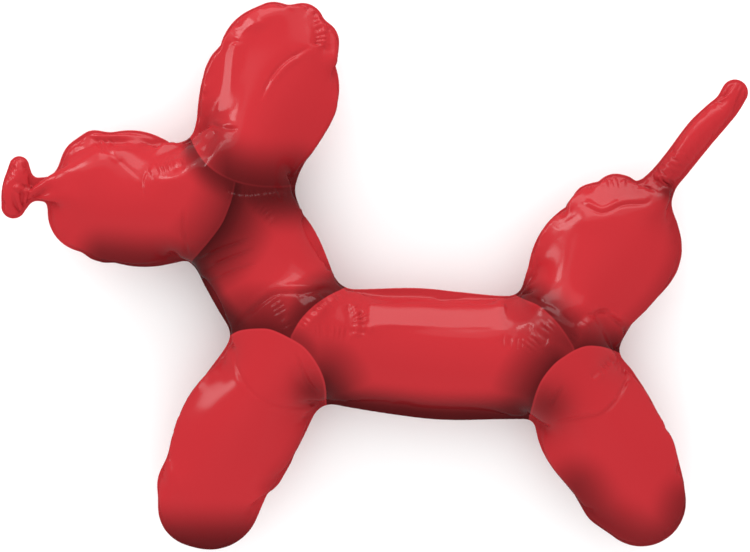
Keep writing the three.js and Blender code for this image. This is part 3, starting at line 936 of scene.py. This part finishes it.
OUTLINES = {
    "muzzle": [(238, 186), (235, 199), (230.5, 212), (224, 226), (212, 242), (201, 254), (193, 262), (185, 275), (100, 290), (20, 260), (-20, 200), (0, 130), (60, 110), (150, 110), (190, 118), (225, 145), (238, 168)],
    "ear": [(190, 137), (204, 159), (218, 173), (237, 183), (260, 188), (281, 188), (295, 187), (320, 190), (370, 150), (375, 60), (340, -20), (260, -30), (190, 10), (165, 80), (175, 120)],
    "body": [(344, 288), (328, 296), (314, 306), (302.5, 318), (294.5, 331), (292, 338), (292, 360), (300, 390), (315, 412), (335, 425), (430, 440), (530, 438), (560, 400), (573, 370), (571, 349), (565.5, 338), (558, 327), (548.5, 316), (536, 305), (516, 295), (500, 278), (430, 265), (365, 272)],
    "front_leg": [(231, 336), (242, 331), (259, 329), (273, 330), (291, 338), (305, 347), (316, 361), (323, 376), (325.5, 390), (325.5, 404), (328, 430), (300, 520), (240, 580), (150, 570), (130, 480), (170, 390), (212, 348)],
    "hind_leg": [(530, 418.5), (531, 407), (534, 391), (540, 377), (551, 363), (561, 355.5), (571.5, 349.5), (582, 346), (592, 346), (603, 348), (619, 354), (650, 370), (700, 450), (710, 540), (620, 570), (560, 500), (530, 440)],
}
ORDER = ("muzzle", "ear", "body", "front_leg", "hind_leg")
BUBBLE = {k: region(HOME, v) / 1.4 for k, v in OUTLINES.items()}  # in steps of 1.4 mm


def fade(d, wide, dark, power=0):
    """From dark at d = 0 to 1 at d = wide."""
    t = np.clip(d / wide, 0, 1)
    t = t * t * (3 - 2 * t) if power == 0 else t**power
    return dark + (1 - dark) * t


def off(points):
    return np.abs(beside(HOME, line(points), 130.0)[0]) / 1.4


def off_arc(name, count):
    """Distance to the part of a bubble's outline that shows: its first points."""
    return off(OUTLINES[name][:count])


def spot(x, y, r, dark):
    d = np.hypot(*(HOME - px(x, y)).T) / 1.4 / r
    return 1 - (1 - dark) * np.exp(-d * d)


def part(s, w):
    """The shade s only where w is 1."""
    return 1 - np.clip(w, 0, 1) * (1 - s)


PX, PY = HOME[:, 0] / 1.4 + 374.5, 275 - HOME[:, 1] / 1.4
EAR_ARC, MUZZLE_ARC = off_arc("ear", 7), off_arc("muzzle", 7)
LEG_ARC, HIND_ARC = off_arc("front_leg", 10), off_arc("hind_leg", 11)
BODY_LEFT, BODY_RIGHT = off_arc("body", 6), off(OUTLINES["body"][14:20])
SHADE = {}
under = fade(MUZZLE_ARC, 53, 0.0, 0.8)
under = np.minimum(under, fade(EAR_ARC - 8, 44, 0.25))
under = np.minimum(under, fade(LEG_ARC, 50, 0.2, 0.9))
under = np.minimum(under, fade(BODY_LEFT, 34, 0.28))
under = np.minimum(under, fade(BODY_RIGHT, 32, 0.34))
under = np.minimum(under, fade(HIND_ARC, 34, 0.2, 0.9))
under *= fade(off([(190, 258), (214, 300), (234, 326)]), 19, 0.32)
under *= fade(off([(682, 225), (676, 262), (655, 300), (628, 330), (618, 350)]), 20, 0.8)
under *= fade(off([(648, 174), (660, 182), (672, 192)]), 58, 0.84) * spot(666, 192, 8, 0.5)
under *= spot(32, 197, 12, 0.3) * spot(20, 200, 9, 0.7)
SHADE["under"] = under
muzzle = fade(off([(104, 262), (116, 263), (150, 266), (195, 264)]), 42, 0.36)
SHADE["muzzle"] = np.minimum(muzzle, fade(MUZZLE_ARC, 42, 0.42, 0.8)) * part(fade(EAR_ARC, 26, 0.4), (PX - 180) / 10)
SHADE["ear"] = part(fade(EAR_ARC, 53, 0.27), (PX - 196) / 34)
body = fade(off([(326, 405), (360, 411), (430, 420), (490, 420), (531, 417)]), 36, 0.12)
body = np.minimum(body, fade(BODY_RIGHT, 55, 0.48) + 0.4 * np.clip((340 - PY) / 40, 0, 1))
body = np.minimum(body, fade(off([(322, 382), (325.5, 390), (325.5, 404)]), 50, 0.0, 0.7))
body = np.minimum(body, fade(LEG_ARC, 22, 0.58)) * spot(522, 403, 20, 0.6) * spot(338, 398, 14, 0.65)
SHADE["body"] = np.clip(np.minimum(body, fade(off([(531, 416), (531, 407), (534, 391), (542, 375), (553, 361)]), 46, 0.14, 0.8)), 0, 1)
leg = fade(off([(150, 557), (205, 557), (262, 557)]) - 6, 56, 0.22)
SHADE["front_leg"] = leg * fade(off([(326, 400), (320, 420), (300, 455), (275, 490)]), 22, 0.8) * spot(313, 391, 20, 0.5)
SHADE["hind_leg"] = fade(off([(575, 488), (598, 520), (640, 542), (672, 536), (688, 505)]), 45, 0.5) * spot(543, 404, 24, 0.5)
for key, more in (("ear", 0.6), ("front_leg", 1.2), ("hind_leg", 1.2)):
    BUBBLE[key] = BUBBLE[key] + more


def put(mesh, name, values):
    mesh.attributes.new(name, "FLOAT", "POINT").data.foreach_set("value", np.asarray(values, np.float32))


# ---- the balloon ---------------------------------------------------------------------------------------
mesh = bpy.data.meshes.new("foil_balloon_skin")
world = np.c_[X[:, 0] - MIDDLE[0], X[:, 1] - MIDDLE[1], X[:, 2] + WELD_Z] / 1000
world[:, 2] -= world[:, 2].min()
mesh.from_pydata(world.tolist(), [], FACES)
mesh.update()
for key, b in BUBBLE.items():
    put(mesh, "b_" + key, b)
for key, s in SHADE.items():
    put(mesh, "s_" + key, s)
for p in mesh.polygons:
    p.use_smooth = True
skin_object = bpy.data.objects.new("foil_skin", mesh)
bpy.context.scene.collection.objects.link(skin_object)
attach(skin_object, "root")
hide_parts("foil_balloon")


# ---- printed foil ----------------------------------------------------------------------------------------
def lin(r, g, b):
    return tuple((c / 255 / 12.92 if c <= 10 else ((c / 255 + 0.055) / 1.055) ** 2.4) for c in (r, g, b)) + (1.0,)


foil = bpy.data.materials.new("red_foil")
foil.use_nodes = True
nt = foil.node_tree
nt.nodes.clear()


def node(kind, **sets):
    n = nt.nodes.new(kind)
    for k, v in sets.items():
        setattr(n, k, v)
    return n


def attr(name):
    return node("ShaderNodeAttribute", attribute_type="GEOMETRY", attribute_name=name).outputs["Fac"]


def maths(op, a, b=None, c=None, clamp=False):
    n = node("ShaderNodeMath", operation=op, use_clamp=clamp)
    for i, v in enumerate((a, b, c)):
        if v is None:
            continue
        if isinstance(v, (int, float)):
            n.inputs[i].default_value = v
        else:
            nt.links.new(v, n.inputs[i])
    return n.outputs[0]


def between(f, a, b):
    """a where f is 0, b where f is 1."""
    return maths("MULTIPLY_ADD", f, maths("SUBTRACT", b, a), a)


LINE = {"muzzle": 0.06, "ear": 0.08, "body": 0.12, "front_leg": 0.3, "hind_leg": 0.2}  # the thin lighter line inside the edge
shade = attr("s_under")
glint = None
for key in ORDER:
    b = attr("b_" + key)
    on = maths("MULTIPLY_ADD", b, 1.3, 0.5, clamp=True)
    shade = between(on, shade, attr("s_" + key))
    thin = maths("SUBTRACT", 1.0, maths("ABSOLUTE", maths("MULTIPLY_ADD", b, 0.8, -1.0)), clamp=True)
    thin = maths("MULTIPLY", thin, LINE[key])
    glint = thin if glint is None else maths("MAXIMUM", maths("MULTIPLY", glint, maths("SUBTRACT", 1.0, on)), thin)
ramp = node("ShaderNodeValToRGB")
stops = ((0.0, (58, 6, 8)), (0.25, (84, 14, 17)), (0.5, (114, 23, 27)), (0.75, (144, 31, 36)), (1.0, (172, 38, 44)))
while len(ramp.color_ramp.elements) < len(stops):
    ramp.color_ramp.elements.new(0.5)
for el, (at, rgb) in zip(ramp.color_ramp.elements, stops):
    el.position = at
    el.color = lin(*rgb)
nt.links.new(shade, ramp.inputs["Fac"])
mix = node("ShaderNodeMix", data_type="RGBA")
nt.links.new(glint, mix.inputs[0])
nt.links.new(ramp.outputs["Color"], mix.inputs[6])
mix.inputs[7].default_value = lin(196, 52, 60)
bsdf = node("ShaderNodeBsdfPrincipled")
nt.links.new(mix.outputs[2], bsdf.inputs["Base Color"])
bsdf.inputs["Roughness"].default_value = 0.15
bsdf.inputs["Specular IOR Level"].default_value = 0.25
out = node("ShaderNodeOutputMaterial")
nt.links.new(bsdf.outputs[0], out.inputs["Surface"])
mesh.materials.append(foil)


# ---- floor, light and camera -------------------------------------------------------------------------------
def plain(name, rgb, rough):
    m = bpy.data.materials.new(name)
    m.use_nodes = True
    p = m.node_tree.nodes["Principled BSDF"]
    p.inputs["Base Color"].default_value = rgb
    p.inputs["Roughness"].default_value = rough
    p.inputs["Specular IOR Level"].default_value = 0.0
    return m


fm = bpy.data.meshes.new("floor")
fm.from_pydata([(-30, -30, 0), (30, -30, 0), (30, 30, 0), (-30, 30, 0)], [], [(0, 1, 2, 3)])
fm.materials.append(plain("pale_floor", (0.93, 0.93, 0.93, 1), 0.9))
floor = bpy.data.objects.new("floor", fm)
bpy.context.scene.collection.objects.link(floor)
floor.visible_glossy = False
floor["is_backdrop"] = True

scene = bpy.context.scene
scene.view_settings.view_transform = "Standard"
scene.view_settings.look = "None"
scene.view_settings.exposure = 0.0
scene.view_settings.gamma = 1.0
sky = bpy.data.worlds.new("studio")
sky.use_nodes = True
air = sky.node_tree
ray = air.nodes.new("ShaderNodeLightPath")
dim = air.nodes.new("ShaderNodeMath")  # the even light of the room, faint in reflections
dim.operation = "MULTIPLY_ADD"
air.links.new(ray.outputs["Is Glossy Ray"], dim.inputs[0])
dim.inputs[1].default_value = -0.65
dim.inputs[2].default_value = 0.85
air.links.new(dim.outputs[0], air.nodes["Background"].inputs["Strength"])
air.nodes["Background"].inputs["Color"].default_value = (1, 1, 1, 1)
scene.world = sky


def softbox(name, where, at, wide, high, watts, gloss=True):
    data = bpy.data.lights.new(name, "AREA")
    data.shape = "RECTANGLE"
    data.size, data.size_y = wide, high
    data.energy = watts
    o = bpy.data.objects.new(name, data)
    scene.collection.objects.link(o)
    o.location = where
    o.rotation_euler = (Vector(at) - Vector(where)).to_track_quat("-Z", "Y").to_euler()
    o.visible_glossy = gloss
    o.visible_camera = False
    return o


softbox("ceiling", (0, 0, 3.2), (0, 0, 0), 5.0, 5.0, 43, gloss=False)
for k in range(4):
    a = math.pi * (k + 0.5) / 2
    softbox("wall_%d" % k, (3.2 * math.cos(a), 3.2 * math.sin(a), 1.5), (0, 0, 0.1), 3.0, 2.0, 10, gloss=False)
softbox("panel", (0, 2.7, 1.25), (0, 0, 0.1), 5.0, 2.4, 30)
softbox("fill_near", (0, -2.7, 1.25), (0, 0, 0.1), 5.0, 2.4, 30, gloss=False)
softbox("box_far", (0, 2.4, 0.85), (0, 0, 0.1), 2.4, 1.1, 18)
softbox("box_far_left", (-1.7, 1.7, 0.75), (0, 0, 0.1), 0.6, 0.5, 6)
softbox("box_left", (-2.2, 1.05, 0.72), (0, 0, 0.1), 0.7, 0.5, 5)

cam_data = bpy.data.cameras.new("camera")
cam_data.sensor_width = 36
cam_data.lens = 36 * 4.0 / 1.05
cam_data.clip_end = 50
cam = bpy.data.objects.new("camera", cam_data)
scene.collection.objects.link(cam)
cx, cy = px(375, 276)
cam.location = ((cx - MIDDLE[0]) / 1000, (cy - MIDDLE[1]) / 1000, 4.0 + WELD_Z / 1000)
cam.rotation_euler = (0, 0, 0)
scene.camera = cam

bpy.context.view_layer.update()
lo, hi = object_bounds()
print("box", [round(v, 4) for v in (*CAD_BOX[0], *CAD_BOX[1])], [round(v, 4) for v in (*lo, *hi)], "after %.1f s" % (time.time() - START))
